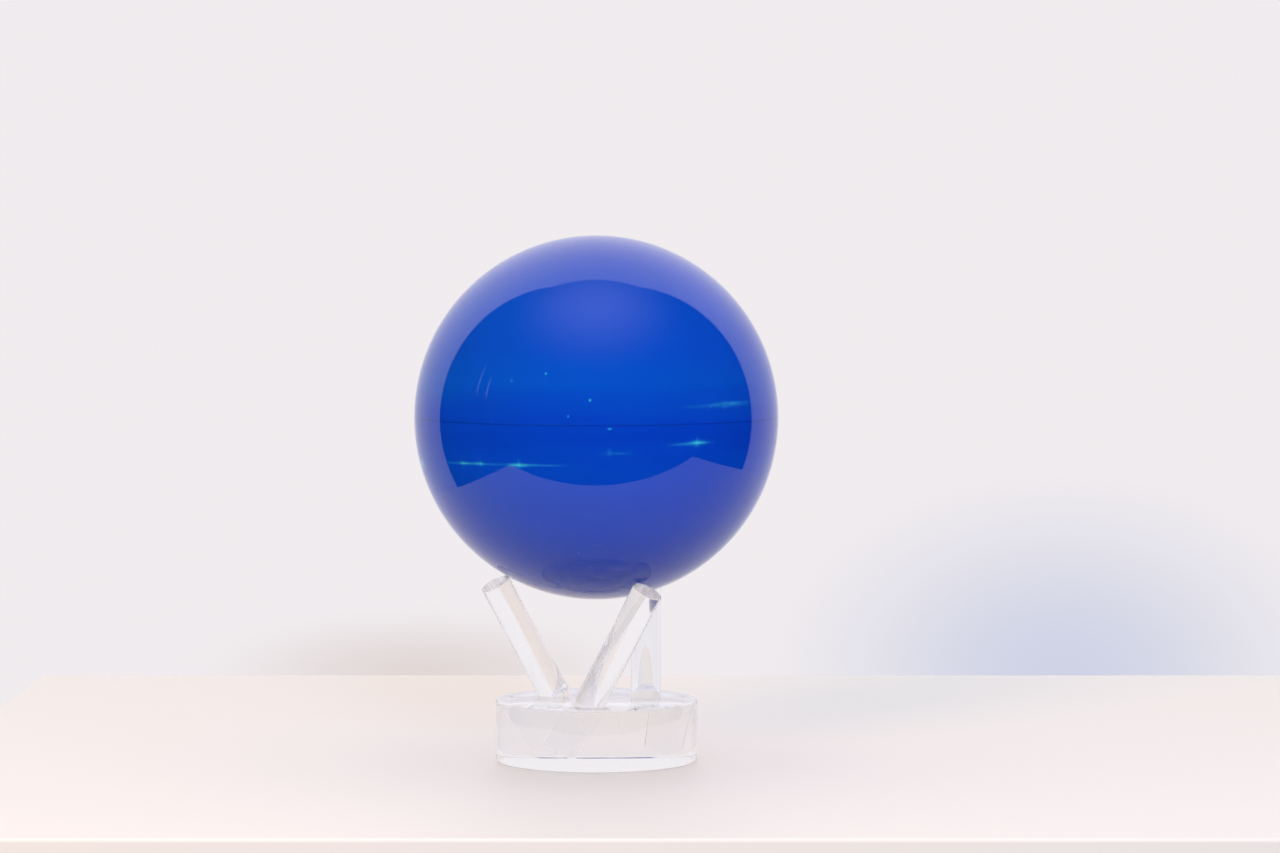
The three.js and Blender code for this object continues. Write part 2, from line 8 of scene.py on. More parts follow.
import bpy
import numpy as np
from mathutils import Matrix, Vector


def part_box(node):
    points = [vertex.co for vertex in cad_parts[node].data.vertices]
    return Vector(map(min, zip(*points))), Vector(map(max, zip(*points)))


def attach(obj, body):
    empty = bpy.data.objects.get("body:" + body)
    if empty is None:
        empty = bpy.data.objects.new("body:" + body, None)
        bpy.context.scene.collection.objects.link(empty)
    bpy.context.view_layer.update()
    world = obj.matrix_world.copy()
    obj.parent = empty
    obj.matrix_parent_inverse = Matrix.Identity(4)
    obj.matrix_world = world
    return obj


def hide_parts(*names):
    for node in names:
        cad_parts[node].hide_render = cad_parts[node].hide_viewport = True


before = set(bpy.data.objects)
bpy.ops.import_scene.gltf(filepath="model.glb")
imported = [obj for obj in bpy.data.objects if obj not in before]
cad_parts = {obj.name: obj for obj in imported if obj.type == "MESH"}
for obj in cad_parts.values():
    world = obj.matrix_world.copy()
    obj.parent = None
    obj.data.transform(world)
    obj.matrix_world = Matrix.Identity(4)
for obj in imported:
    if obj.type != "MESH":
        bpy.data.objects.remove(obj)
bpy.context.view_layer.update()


# ---- Base disc ----
# Cut from thick cast acrylic sheet, turned true, and polished on every face. Three blind holes are
# drilled into its top at a slant, for the rods.

MM = 0.001
TINY = 1e-9
CRISP = math.radians(30)


def turned(name, radius, height, around, finishes, bands, axes=None, foot=(0, 0, 0)):
    """A piece turned on a lathe. Row i and column j stand at r_i times (cos t_j, sin t_j) across the
    axis and h_ij along it, where t_j goes once round. Rows run up the outside, so faces point out.
    A row on the axis is one point, and rows that end where they began close on themselves. bands
    gives the finish of the faces above each row, axes the piece's own x, y and z, and foot its origin.
    Edges that turn by more than CRISP stay sharp. The UV map is (part of a turn, part of the way along
    the rows)."""
    radius = np.asarray(radius, float)
    height = np.asarray(height, float)
    if height.ndim == 1:
        height = np.repeat(height[:, None], around, 1)
    turn = 2 * np.pi * np.arange(around) / around
    ring = np.stack([np.cos(turn), np.sin(turn)], 1)
    local = np.concatenate([radius[:, None, None] * ring, height[:, :, None]], 2)
    frame_axes = np.eye(3) if axes is None else np.array(axes)
    points = local @ frame_axes + np.array(foot)
    rows = len(radius)
    numbers = np.arange(rows * around).reshape(rows, around)
    on_axis = radius < TINY
    numbers[on_axis] = numbers[on_axis][:, :1]
    if not on_axis[0]:
        numbers[-1] = numbers[0]
    after = np.roll(numbers, -1, 1)
    quads = np.stack([numbers[:-1], after[:-1], after[1:], numbers[1:]], 2).reshape(-1, 4)
    steps = (np.arange(around) + np.array([[0], [1], [1], [0]])).T / around
    across = np.tile(steps, (rows - 1, 1))
    level = np.arange(rows)
    along = np.stack([level[:-1], level[:-1], level[1:], level[1:]], 1) / (rows - 1)
    along = np.repeat(along, around, 0)
    slots = np.repeat(np.asarray(bands), around)
    used, compact = np.unique(quads, return_inverse=True)
    quads = compact.reshape(-1, 4)
    keep = quads != np.roll(quads, 1, 1)
    count = keep.sum(1)
    mesh = bpy.data.meshes.new(name)
    mesh.vertices.add(len(used))
    mesh.vertices.foreach_set("co", points.reshape(-1, 3)[used].ravel())
    mesh.loops.add(int(count.sum()))
    mesh.loops.foreach_set("vertex_index", quads[keep].astype(np.int32))
    mesh.polygons.add(len(quads))
    mesh.polygons.foreach_set("loop_start", (np.cumsum(count) - count).astype(np.int32))
    mesh.polygons.foreach_set("material_index", slots.astype(np.int32))
    mesh.update(calc_edges=True)
    places = np.stack([across[keep], along[keep]], 1)
    mesh.uv_layers.new(name="around").data.foreach_set("uv", places.ravel())
    mesh.shade_smooth()
    mesh.set_sharp_from_angle(angle=CRISP)
    for finish in finishes:
        mesh.materials.append(finish)
    piece = bpy.data.objects.new(name, mesh)
    bpy.context.scene.collection.objects.link(piece)
    return piece


def corner(centre_r, centre_h, size, start, end, steps=4):
    """Points of a rounded corner: a circular arc of radius size about (centre_r, centre_h)."""
    angles = np.radians(np.linspace(start, end, steps + 1))
    return np.stack([centre_r + size * np.cos(angles), centre_h + size * np.sin(angles)], 1)


def put(tree, kind, inputs=(), **settings):
    """Adds a shader node. inputs is {socket name or number: a value, or a socket to link it from}."""
    made = tree.nodes.new("ShaderNode" + kind)
    for key, value in settings.items():
        setattr(made, key, value)
    for key, value in dict(inputs).items():
        if isinstance(value, bpy.types.NodeSocket):
            tree.links.new(value, made.inputs[key])
        else:
            made.inputs[key].default_value = value
    return made


def group(name, inputs, outputs):
    """An empty shader node group with number or vector inputs and number outputs."""
    made = bpy.data.node_groups.new(name, "ShaderNodeTree")
    for label, value in inputs.items():
        kind = "NodeSocketVector" if value is None else "NodeSocketFloat"
        socket = made.interface.new_socket(label, in_out="INPUT", socket_type=kind)
        if value is not None:
            socket.default_value = value
    for label in outputs:
        made.interface.new_socket(label, in_out="OUTPUT", socket_type="NodeSocketFloat")
    return made, made.nodes.new("NodeGroupInput").outputs, made.nodes.new("NodeGroupOutput").inputs


def use(tree, shared, **inputs):
    """Places a shared group in a material, with that material's own values."""
    made = tree.nodes.new("ShaderNodeGroup")
    made.node_tree = shared
    for key, value in inputs.items():
        if isinstance(value, bpy.types.NodeSocket):
            tree.links.new(value, made.inputs[key])
        else:
            made.inputs[key].default_value = value
    return made.outputs


def material(name, **plain):
    """A material with one Principled shader and its plain values. Returns (material, tree, shader)."""
    made = bpy.data.materials.new(name)
    made.use_nodes = True
    shader = made.node_tree.nodes["Principled BSDF"]
    for key, value in plain.items():
        shader.inputs[key.replace("_", " ")].default_value = value
    return made, made.node_tree, shader


def handling_marks():
    """Dust and hair scratches on a polished face: sparse round specks, and long thin valleys of a
    noise stretched one way. Specks puts out where dust lies, and Height how deep the surface is."""
    tree, given, out = group("handling_marks", {"Place": None, "Grit": 900.0, "Waves": 0.35},
                             ["Specks", "Height"])
    cells = put(tree, "TexVoronoi", {"Vector": given["Place"], "Scale": given["Grit"]})
    chance = put(tree, "TexNoise", {"Vector": given["Place"], "Scale": 60.0, "Detail": 2.0})
    size = put(tree, "MapRange", {0: chance.outputs["Fac"], 1: 0.62, 2: 0.8, 3: 0.0, 4: 0.16})
    speck = put(tree, "Math", {0: cells.outputs["Distance"], 1: size.outputs[0]}, operation="LESS_THAN")
    long = put(tree, "Mapping", {"Vector": given["Place"], "Scale": (900.0, 70.0, 140.0)})
    hair = put(tree, "TexNoise", {"Vector": long.outputs[0], "Scale": 1.0, "Detail": 4.0})
    scratch = put(tree, "MapRange", {0: hair.outputs["Fac"], 1: 0.34, 2: 0.3, 3: 0.0, 4: 0.35})
    wave = put(tree, "TexNoise", {"Vector": given["Place"], "Scale": 45.0, "Detail": 1.0})
    swell = put(tree, "Math", {0: wave.outputs["Fac"], 1: given["Waves"]}, operation="MULTIPLY")
    depth = put(tree, "Math", {0: swell.outputs[0], 1: scratch.outputs[0]}, operation="SUBTRACT")
    tree.links.new(speck.outputs[0], out["Specks"])
    tree.links.new(depth.outputs[0], out["Height"])
    return tree


MARKS = handling_marks()


def clear_acrylic(name, ior=1.49, waves=0.3, bump=0.02, least_rough=0.0, tint=(0.985, 0.99, 0.995, 1)):
    """Polished clear acrylic. Rays from lamps go straight through it, so that what stands in and
    under it is lit, as it is by the light that acrylic gathers and passes on."""
    made, tree, shader = material(name, Base_Color=tint, Transmission_Weight=1.0, IOR=ior)
    place = put(tree, "TexCoord").outputs["Object"]
    marks = use(tree, MARKS, Place=place, Waves=waves)
    rough = put(tree, "MapRange", {0: marks["Specks"], 3: least_rough, 4: least_rough + 0.3})
    relief = put(tree, "Bump", {"Strength": bump, "Distance": 0.0004, "Height": marks["Height"]})
    tree.links.new(rough.outputs[0], shader.inputs["Roughness"])
    tree.links.new(relief.outputs[0], shader.inputs["Normal"])
    path = put(tree, "LightPath").outputs
    through = put(tree, "BsdfTransparent").outputs[0]
    lamps = put(tree, "MixShader", {0: path["Is Shadow Ray"], 1: shader.outputs[0], 2: through})
    tree.links.new(lamps.outputs[0], tree.nodes["Material Output"].inputs["Surface"])
    return made


ACRYLIC = clear_acrylic("clear_acrylic")
SAWN = clear_acrylic("sawn_acrylic", least_rough=0.22)
CEMENTED = clear_acrylic("cemented_socket", ior=1.008, waves=0.0, bump=0.0)

base_low, base_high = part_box("base_disc")
BASE_R = (base_high.x - base_low.x) / 2
BASE_H = base_high.z
BASE_EDGE = 0.45 * MM
BASE_TURNS = 256


def base_profile():
    """Up the outside of the disc: flat underside, rounded edge, straight side, rounded edge, top."""
    inner = BASE_R - BASE_EDGE
    low = corner(inner, BASE_EDGE, BASE_EDGE, -90, 0)
    high = corner(inner, BASE_H - BASE_EDGE, BASE_EDGE, 0, 90)
    return np.concatenate([[[0, 0]], low, high, [[0, BASE_H]]])


outline = base_profile()
base_piece = turned("clear_base_disc", outline[:, 0], outline[:, 1], BASE_TURNS,
                    [ACRYLIC, CEMENTED], np.zeros(len(outline) - 1, int))
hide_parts("base_disc")


# ---- Support rods ----
# Three lengths of clear acrylic rod, sawn square and polished at the ends. Each is pushed to the floor
# of its hole and held by solvent cement, and the inner rims of their upper ends carry the ball.

ROD_R = 4.7625 * MM
ROD_TOP_R, ROD_TOP_Z = 31.6 * MM, 55.2 * MM
ROD_FOOT_R = 16.7 * MM
ROD_TWIST = 38.1
ROD_EMBED = 15.7 * MM
ROD_REACH = 0.5 * MM
ROD_EDGE = 0.25 * MM
ROD_TURNS = 96
SOCKET_PLAY = 0.04 * MM
ROD_ANGLES = {"rear": 60, "left": 180, "front": 300}


def round_axis(radius, degrees, z):
    a = math.radians(degrees)
    return np.array([radius * math.cos(a), radius * math.sin(a), z])


def rod_frame(angle):
    """The foot of a rod and its own axes: along is from the rod's foot to the middle of its end."""
    top = round_axis(ROD_TOP_R, angle, ROD_TOP_Z)
    entry = round_axis(ROD_FOOT_R, angle - ROD_TWIST, BASE_H)
    along = (top - entry) / np.linalg.norm(top - entry)
    side = np.cross([0, 0, 1], along)
    side /= np.linalg.norm(side)
    foot = entry - ROD_EMBED * along
    length = np.linalg.norm(top - foot) + ROD_REACH
    return foot, np.array([side, np.cross(along, side), along]), length


def rod_piece(name, angle):
    """A rod with rounded rims. One row of its side lies where the top of the base cuts it, so that
    the cemented stretch below and the free stretch above have finishes of their own."""
    foot, axes, length = rod_frame(angle)
    inner = ROD_R - ROD_EDGE
    low = corner(inner, ROD_EDGE, ROD_EDGE, -90, 0)
    high = corner(inner, length - ROD_EDGE, ROD_EDGE, 0, 90)
    radius = np.concatenate([[0], low[:, 0], [ROD_R], high[:, 0], [0]])
    turn = 2 * np.pi * np.arange(ROD_TURNS) / ROD_TURNS
    reach = ROD_R * (np.cos(turn) * axes[0, 2] + np.sin(turn) * axes[1, 2])
    waterline = (BASE_H - foot[2] - reach) / axes[2, 2]
    level = np.concatenate([[0], low[:, 1], [0], high[:, 1], [length]])
    height = np.repeat(level[:, None], ROD_TURNS, 1)
    height[len(low) + 1] = waterline
    bands = np.zeros(len(radius) - 1, int)
    bands[: len(low) + 1] = 1
    bands[-len(high):] = 2
    return turned(name, radius, height, ROD_TURNS, [ACRYLIC, CEMENTED, SAWN], bands, axes, foot)


def socket_tool(angle):
    """What the drill takes out: a plain cylinder a little wider than the rod."""
    foot, axes, _ = rod_frame(angle)
    radius = np.array([0, 1, 1, 0]) * (ROD_R + SOCKET_PLAY)
    height = np.array([-SOCKET_PLAY, -SOCKET_PLAY, ROD_EMBED + 2 * ROD_R, ROD_EMBED + 2 * ROD_R])
    return turned("socket_tool", radius, height, ROD_TURNS, [CEMENTED], [0, 0, 0], axes, foot)


def drill(piece, tools):
    """Cuts each tool out of a piece and keeps the result as its mesh. The walls get the tool's finish."""
    for tool in tools:
        cut = piece.modifiers.new("drill", "BOOLEAN")
        cut.operation, cut.solver, cut.object = "DIFFERENCE", "EXACT", tool
        cut.material_mode = "TRANSFER"
    bpy.context.view_layer.update()
    shown = piece.evaluated_get(bpy.context.evaluated_depsgraph_get())
    mesh = bpy.data.meshes.new_from_object(shown)
    piece.modifiers.clear()
    piece.data = mesh
    mesh.set_sharp_from_angle(angle=CRISP)
    for tool in tools:
        bpy.data.objects.remove(tool)


drill(base_piece, [socket_tool(angle) for angle in ROD_ANGLES.values()])
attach(base_piece, "stand")
for where, angle in ROD_ANGLES.items():
    rod = rod_piece(f"clear_rod_{where}", angle)
    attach(rod, "stand")
    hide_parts(f"support_rod_{where}")


# ---- Outer ball ----
# Two moulded clear acrylic half shells, cemented at the equator and polished as one ball, with a small
# plug in the lower pole where the liquid was let in. The liquid matches the acrylic so closely that the
# inner wall can't be seen.

shell_low, shell_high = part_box("outer_shell_upper")
BALL_R = (shell_high.x - shell_low.x) / 2
BALL_Z = shell_high.z - BALL_R
BALL_WALL = 4.0 * MM
BALL_TURNS, BALL_ROWS = 192, 48
BALL_CENTRE = (0, 0, BALL_Z)


def matched(name, alpha, tint):
    """A surface between two clear things that bend light alike, which leaves only a breath of tint."""
    made, tree, shader = material(name, Base_Color=tint, Alpha=alpha)
    shader.inputs["Specular IOR Level"].default_value = 0.0
    place = put(tree, "TexCoord").outputs["Object"]
    swirl = put(tree, "TexNoise", {"Vector": place, "Scale": 60.0, "Detail": 2.0}).outputs["Fac"]
    rough = put(tree, "MapRange", {0: swirl, 3: 0.3, 4: 0.5}).outputs[0]
    tree.links.new(rough, shader.inputs["Roughness"])
    return made


WETTED = matched("wetted_inner_wall", 0.0, (0.8, 0.9, 1, 1))


def half_shell(name, upper, outer, inner, finishes, hole=0.0):
    """Half of a spherical wall: along the inner wall from the pole, across the joint face, and back
    along the outer wall. With a hole at the pole, its bore closes the outline. The lower half is the
    same outline turned over."""
    inner_pole, outer_pole = np.degrees(np.arccos([hole / inner, hole / outer]))
    profile = np.concatenate([corner(0, 0, inner, inner_pole, 0, BALL_ROWS),
                              corner(0, 0, outer, 0, outer_pole, BALL_ROWS)])
    bands = np.repeat([1, 0], [BALL_ROWS + 1, BALL_ROWS])
    if hole:
        profile = np.concatenate([profile, profile[:1]])
        bands = np.append(bands, 1)
    else:
        profile[[0, -1], 0] = 0
    if not upper:
        profile = profile[::-1] * [1, -1]
        bands = bands[::-1]
    return turned(name, profile[:, 0], profile[:, 1], BALL_TURNS, finishes, bands, foot=BALL_CENTRE)


plug_low, plug_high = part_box("fill_plug")
PLUG_R = (plug_high.x - plug_low.x) / 2
PLUG_PLAY = 0.03 * MM
for side in ("upper", "lower"):
    shell = half_shell(f"clear_ball_{side}", side == "upper", BALL_R, BALL_R - BALL_WALL,
                       [ACRYLIC, WETTED], hole=PLUG_R + PLUG_PLAY if side == "lower" else 0.0)
    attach(shell, "ball")
    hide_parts(f"outer_shell_{side}")


# ---- Fill plug ----
# A short moulded peg of cream plastic, pushed into the hole at the lower pole and sealed there once the
# ball is full. Its foot follows the ball, and its rims are broken so that it starts into the hole.

PLUG_EDGE = 0.25 * MM


def fine_grain():
    """The fine finish of a made surface: a noise that can be stretched one way, with a slower one
    that varies its tone. Tone and Rough lie between the given ends, and Height is the noise."""
    tree, given, out = group("fine_grain", {"Place": None, "Stretch": None, "Scale": 1.0, "Dark": 0.8,
                                            "Light": 1.0, "Smooth": 0.3, "Dull": 0.5},
                             ["Tone", "Rough", "Height"])
    along = put(tree, "Mapping", {"Vector": given["Place"], "Scale": given["Stretch"]}).outputs[0]
    fine = put(tree, "TexNoise", {"Vector": along, "Scale": given["Scale"], "Detail": 4.0}).outputs["Fac"]
    slow = put(tree, "TexNoise", {"Vector": given["Place"], "Scale": 220.0, "Detail": 2.0}).outputs["Fac"]
    both = put(tree, "Math", {0: fine, 1: slow}, operation="ADD").outputs[0]
    for label, low, high in (("Tone", "Dark", "Light"), ("Rough", "Smooth", "Dull")):
        made = put(tree, "MapRange", {0: both, 1: 0.7, 2: 1.3, 3: given[low], 4: given[high]})
        tree.links.new(made.outputs[0], out[label])
    tree.links.new(fine, out["Height"])
    return tree


GRAIN = fine_grain()


def worked(name, colour, scale, stretch=(1, 1, 1), tone=(0.82, 1.0), rough=(0.3, 0.5), bump=0.1, **plain):
    """A made material: one colour that varies in tone, with the grain of how its surface was worked."""
    made, tree, shader = material(name, **plain)
    place = put(tree, "TexCoord").outputs["Object"]
    grain = use(tree, GRAIN, Place=place, Stretch=stretch, Scale=scale, Dark=tone[0], Light=tone[1],
                Smooth=rough[0], Dull=rough[1])
    dark = (*(c * 0.55 for c in colour), 1)
    tinted = put(tree, "Mix", {"Factor": grain["Tone"], 6: dark, 7: (*colour, 1)}, data_type="RGBA")
    relief = put(tree, "Bump", {"Strength": bump, "Distance": 0.0001, "Height": grain["Height"]})
    tree.links.new(tinted.outputs[2], shader.inputs["Base Color"])
    tree.links.new(grain["Rough"], shader.inputs["Roughness"])
    tree.links.new(relief.outputs[0], shader.inputs["Normal"])
    return made


CREAM = worked("moulded_cream_plastic", (0.70, 0.64, 0.54), 1800, rough=(0.42, 0.58), bump=0.06)


def plug_profile():
    """Up the outside of the peg: a foot as round as the ball, broken rims, and a flat top."""
    flat = PLUG_R - PLUG_EDGE
    out = np.array([0, 0.5, 1.0]) * flat
    sole = np.stack([out, -np.sqrt(BALL_R**2 - out**2)], 1)
    top = -(BALL_R - BALL_WALL)
    low = corner(flat, sole[-1, 1] + PLUG_EDGE, PLUG_EDGE, -90, 0)[1:]
    high = corner(flat, top - PLUG_EDGE, PLUG_EDGE, 0, 90)
    return np.concatenate([sole, low, high, [[0, top]]])


outline = plug_profile()
plug = turned("fill_peg", outline[:, 0], outline[:, 1], ROD_TURNS, [CREAM], np.zeros(len(outline) - 1, int),
              foot=BALL_CENTRE)
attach(plug, "ball")
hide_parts("fill_plug")


# ---- Float liquid ----
# Two clear liquids that don't mix fill the space round the inner globe, the light one on top. They
# carry the globe's weight, so it turns with almost no friction.

globe_low, globe_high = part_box("globe_shell_upper")
GLOBE_R = (globe_high.x - globe_low.x) / 2
FILM = 0.05 * MM
BREATH = 0.001
LIQUIDS = {
    "upper": ("light_oil", matched("light_oil", BREATH, (0.6, 0.8, 1, 1))),
    "lower": ("dense_liquid", matched("dense_liquid", BREATH, (0.5, 0.7, 1, 1))),
}
for side, (slot, look) in LIQUIDS.items():
    film = half_shell(f"clear_liquid_{side}", side == "upper", BALL_R - BALL_WALL - FILM,
                      GLOBE_R + FILM, [look, look])
    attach(film, "ball")
    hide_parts(f"float_liquid_{side}")


# ---- Printed globe ----
# Two thin moulded half shells, wrapped in a printed film before they are joined. The picture is a
# deep-blue gas planet with soft belts and a few bright, high clouds, and a fine dark line is left
# where the two prints meet. Small star-like glints of light are painted into it at the brightest clouds.

GLOBE_WALL = 1.5 * MM
# Each cloud is (longitude, latitude, half length, half width, slope, strength), in degrees from the
# middle of the front. The short ones that stand taller than they are long are painted glints: small
# star-like flares of light at a cloud's brightest point. The other short ones are tiny bright dots
# between the belts.
CLOUDS_AND_PAINTED_GLINTS = [
    (-84, -14.4, 2.5, 1.1, 0.00, 0.75),
    (-46, -13.4, 13.0, 0.34, 0.00, 0.28),
    (-50, -13.4, 2.2, 0.36, 0.00, 0.45),
    (-51, -13.4, 0.6, 0.90, 0.00, 0.25),
    (-43, -13.2, 2.0, 0.42, 0.00, 0.55),
    (-42, -13.2, 0.5, 1.00, 0.00, 0.30),
    (-27.0, -13.4, 3.0, 0.50, 0.00, 0.80),
    (-26.5, -13.3, 0.5, 1.20, 0.00, 0.35),
    (-20, -13.3, 7.0, 0.30, 0.00, 0.32),
    (7, -9.2, 4.2, 0.40, 0.00, 0.24),
    (5, -9.0, 0.6, 0.90, 0.00, 0.22),
    (36.5, -6.1, 2.6, 0.60, 0.02, 0.85),
    (36.0, -6.0, 0.5, 1.20, 0.00, 0.40),
    (34, -6.3, 6.0, 0.40, 0.03, 0.42),
    (50, 6.1, 8.0, 0.70, -0.01, 0.26),
    (42, 5.8, 11.0, 0.50, 0.00, 0.14),
    (54, 6.6, 7.0, 0.35, -0.01, 0.16),
    (48, 6.1, 0.7, 1.10, 0.00, 0.16),
    (-1.5, 8.4, 0.26, 0.26, 0.00, 2.60),
    (-17.0, 17.2, 0.26, 0.26, 0.00, 2.20),
    (-8.7, 3.1, 0.20, 0.20, 0.00, 1.80),
    (-29.5, 14.5, 0.34, 0.30, 0.00, 0.80),
    (5.0, -1.0, 0.50, 0.18, 0.00, 1.80),
    (121, -12.5, 9.0, 0.60, 0.02, 0.60),
    (131, -12.2, 3.0, 0.70, 0.00, 0.75),
    (163, 8.5, 10.0, 0.50, -0.02, 0.40),
    (204, -17.0, 7.0, 0.55, 0.01, 0.65),
    (226, -5.5, 8.0, 0.60, 0.03, 0.50),
]


def sums(tree):
    """A short way to write the sums of one node tree: it adds a Math node and gives back its result."""

    def math_node(operation, a, b=0.0):
        return put(tree, "Math", {0: a, 1: b}, operation=operation).outputs[0]

    return math_node


def cloud():
    """One drawn-out cloud, tiny dot or painted glint of light: a bell curve along its length times one
    across it, torn by a noise that is stretched along the belt. Its middle line climbs by slope for
    each degree of longitude."""
    tree, given, out = group("cloud", {"Longitude": 0.0, "Latitude": 0.0, "Tear": 0.5, "Middle": 0.0,
                                       "Belt": 0.0, "Length": 5.0, "Width": 0.5, "Slope": 0.0,
                                       "Strength": 0.5}, ["Mask"])
    math_node = sums(tree)
    east = math_node("SUBTRACT", given["Longitude"], given["Middle"])
    climb = math_node("MULTIPLY", east, given["Slope"])
    north = math_node("SUBTRACT", math_node("SUBTRACT", given["Latitude"], given["Belt"]), climb)
    along = math_node("POWER", math_node("ABSOLUTE", math_node("DIVIDE", east, given["Length"])), 2.0)
    across = math_node("POWER", math_node("ABSOLUTE", math_node("DIVIDE", north, given["Width"])), 1.6)
    spread = math_node("MULTIPLY", math_node("ADD", along, across), -1.0)
    bell = math_node("EXPONENT", spread)
    torn = put(tree, "MapRange", {0: given["Tear"], 1: 0.3, 2: 0.7, 3: 0.35, 4: 1.25}).outputs[0]
    mask = math_node("MULTIPLY", math_node("MULTIPLY", bell, torn), given["Strength"])
    tree.links.new(math_node("MINIMUM", mask, 1.0), out["Mask"])
    return tree


def printed_film():
    """The print: belts of blue by latitude, drifted by noise, with the clouds and painted glints of
    light on top and the dark line of the joint. Longitude and latitude come from the piece's own UV map."""
    made, tree, shader = material("printed_film", Roughness=0.45)
    shader.inputs["Specular IOR Level"].default_value = 0.0
    coords = put(tree, "TexCoord").outputs
    uv = put(tree, "SeparateXYZ", {0: put(tree, "UVMap", uv_map="globe").outputs[0]}).outputs
    longitude = put(tree, "MapRange", {0: uv[0], 3: -270.0, 4: 90.0}, clamp=False).outputs[0]
    latitude = put(tree, "MapRange", {0: uv[1], 3: -90.0, 4: 90.0}, clamp=False).outputs[0]
    centred = put(tree, "Mapping", {"Vector": coords["Object"], "Location": (0, 0, -BALL_Z)}).outputs[0]
    belt_place = put(tree, "Mapping", {"Vector": centred, "Scale": (16.0, 16.0, 150.0)}).outputs[0]
    drift = put(tree, "TexNoise", {"Vector": belt_place, "Scale": 1.0, "Detail": 4.0,
                                   "Roughness": 0.55}).outputs["Fac"]
    shift = put(tree, "MapRange", {0: drift, 3: -9.0, 4: 9.0}).outputs[0]
    moved = put(tree, "Math", {0: latitude, 1: shift}, operation="ADD").outputs[0]
    where = put(tree, "MapRange", {0: moved, 1: -90.0, 2: 90.0}).outputs[0]
    ramp = put(tree, "ValToRGB", {0: where})
    belts = [
        (0.00, (0.001, 0.055, 0.500)), (0.24, (0.001, 0.062, 0.560)), (0.42, (0.000, 0.068, 0.575)),
        (0.47, (0.000, 0.052, 0.535)), (0.51, (0.000, 0.057, 0.550)), (0.575, (0.000, 0.090, 0.575)),
        (0.64, (0.001, 0.077, 0.565)), (0.74, (0.001, 0.081, 0.570)), (1.00, (0.001, 0.062, 0.530)),
    ]
    elements = ramp.color_ramp.elements
    while len(elements) < len(belts):
        elements.new(0.5)
    for element, (position, colour) in zip(elements, belts):
        element.position, element.color = position, (*colour, 1)
    tear_place = put(tree, "Mapping", {"Vector": centred, "Scale": (170.0, 170.0, 1500.0)}).outputs[0]
    tear = put(tree, "TexNoise", {"Vector": tear_place, "Scale": 1.0, "Detail": 3.0}).outputs["Fac"]
    shared, total = cloud(), None
    for middle, belt, length, width, slope, strength in CLOUDS_AND_PAINTED_GLINTS:
        mask = use(tree, shared, Longitude=longitude, Latitude=latitude, Tear=tear, Middle=middle,
                   Belt=belt, Length=length, Width=width, Slope=slope, Strength=strength)["Mask"]
        if total is not None:
            mask = put(tree, "Math", {0: total, 1: mask}, operation="ADD").outputs[0]
        total = mask
    # The clouds, the dots and the painted glints of light are mixed in as one pale cyan.
    lit = put(tree, "Mix", {"Factor": total, 6: ramp.outputs[0], 7: (0.05, 0.70, 0.78, 1)},
              data_type="RGBA").outputs[2]
    off_joint = put(tree, "Math", {0: latitude}, operation="ABSOLUTE").outputs[0]
    line = put(tree, "MapRange", {0: off_joint, 1: 0.08, 2: 0.22, 3: 0.5, 4: 0.0}).outputs[0]
    joined = put(tree, "Mix", {"Factor": line, 6: lit, 7: (0.001, 0.01, 0.12, 1)},
                 data_type="RGBA").outputs[2]
    grain = put(tree, "TexNoise", {"Vector": centred, "Scale": 1400.0, "Detail": 1.0}).outputs["Fac"]
    rough = put(tree, "MapRange", {0: grain, 3: 0.4, 4: 0.6}).outputs[0]
    tree.links.new(joined, shader.inputs["Base Color"])
    tree.links.new(rough, shader.inputs["Roughness"])
    return made


def globe_map(piece):
    """Longitude and latitude of every corner, as fractions, from the piece's own rows and turns."""
    mesh = piece.data
    turns = np.empty(len(mesh.loops) * 2, np.float32)
    mesh.uv_layers["around"].data.foreach_get("uv", turns)
    verts = np.empty(len(mesh.loops), np.int32)
    mesh.loops.foreach_get("vertex_index", verts)
    co = np.empty(len(mesh.vertices) * 3, np.float32)
    mesh.vertices.foreach_get("co", co)
    off = co.reshape(-1, 3)[verts] - np.array(BALL_CENTRE)
    north = np.arcsin(np.clip(off[:, 2] / np.linalg.norm(off, axis=1), -1, 1)) / np.pi + 0.5
    both = np.stack([turns.reshape(-1, 2)[:, 0], north], 1)
    mesh.uv_layers.new(name="globe").data.foreach_set("uv", both.ravel())


def bare_inside():
    """The unprinted inner face of the globe's shell: pale, slightly grained moulded plastic."""
    made, tree, shader = material("bare_inside", Base_Color=(0.62, 0.68, 0.8, 1))
    place = put(tree, "TexCoord").outputs["Object"]
    grain = put(tree, "TexNoise", {"Vector": place, "Scale": 300.0, "Detail": 3.0}).outputs["Fac"]
    rough = put(tree, "MapRange", {0: grain, 3: 0.45, 4: 0.65}).outputs[0]
    tree.links.new(rough, shader.inputs["Roughness"])
    return made


FILM_PRINT, BARE = printed_film(), bare_inside()
for side in ("upper", "lower"):
    shell = half_shell(f"printed_globe_{side}", side == "upper", GLOBE_R, GLOBE_R - GLOBE_WALL,
                       [FILM_PRINT, BARE])
    globe_map(shell)
    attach(shell, "globe")
    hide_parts(f"globe_shell_{side}")


# ---- Joint ring and ballast ----
# A thin moulded ring laps the two printed halves where they meet. A cast iron weight sits in the bottom
# of the globe: it trims the globe to float, and keeps it upright.

IRON = worked("cast_iron", (0.11, 0.11, 0.105), 900, tone=(0.4, 1.0), rough=(0.55, 0.8), bump=0.6,
              Metallic=0.9)


def finish(look, *nodes):
    """Gives one material to every slot of these CAD nodes, whose shapes are kept."""
    for node in nodes:
        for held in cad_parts[node].material_slots:
            held.material = look


finish(CREAM, "equator_joint_ring")
finish(IRON, "ballast_weight")


# ---- Drive frame ----
# Three plates punched from aluminium sheet and brushed one way, held apart by turned brass standoffs and
# fastened by three steel screws.

